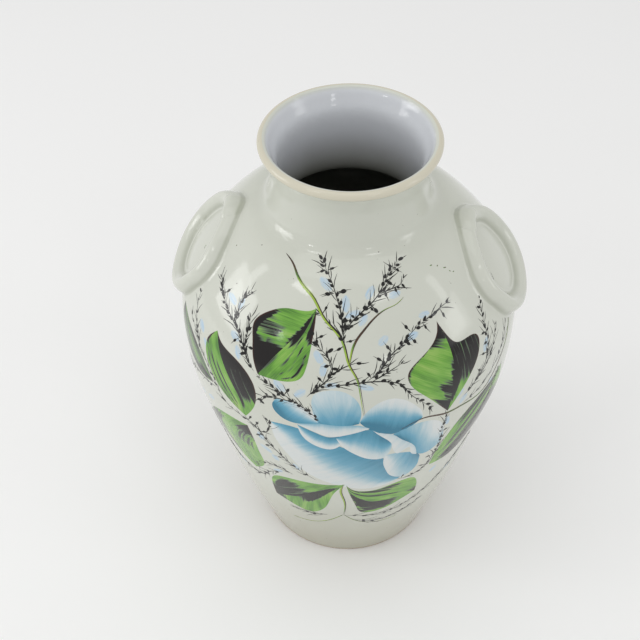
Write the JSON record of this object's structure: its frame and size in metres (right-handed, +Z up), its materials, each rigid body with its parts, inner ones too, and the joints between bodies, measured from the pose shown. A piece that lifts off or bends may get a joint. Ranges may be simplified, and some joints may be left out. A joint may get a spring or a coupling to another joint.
{
  "type": "flower vase",
  "caption": "Glazed ceramic baluster flower vase with a short flared neck, an oval ring handle on each shoulder, a turned foot ring and a painted blue rose.",
  "frame": {"origin": "centre of the resting face of the foot ring", "axes": "+Z up along the axis of turning, +X through the right ring handle, -Y towards the painted front"},
  "size_m": [0.1918, 0.183, 0.28],
  "materials": {
    "glaze": "glossy celadon-white glaze",
    "bare_clay": "matt unglazed fired clay"
  },
  "bodies": {
    "root": {"body": "glaze", "neck": "glaze", "foot_ring": "bare_clay", "right_handle_ring": "glaze", "right_handle_lug": "glaze", "left_handle_ring": "glaze", "left_handle_lug": "glaze"}
  },
  "joints": []
}
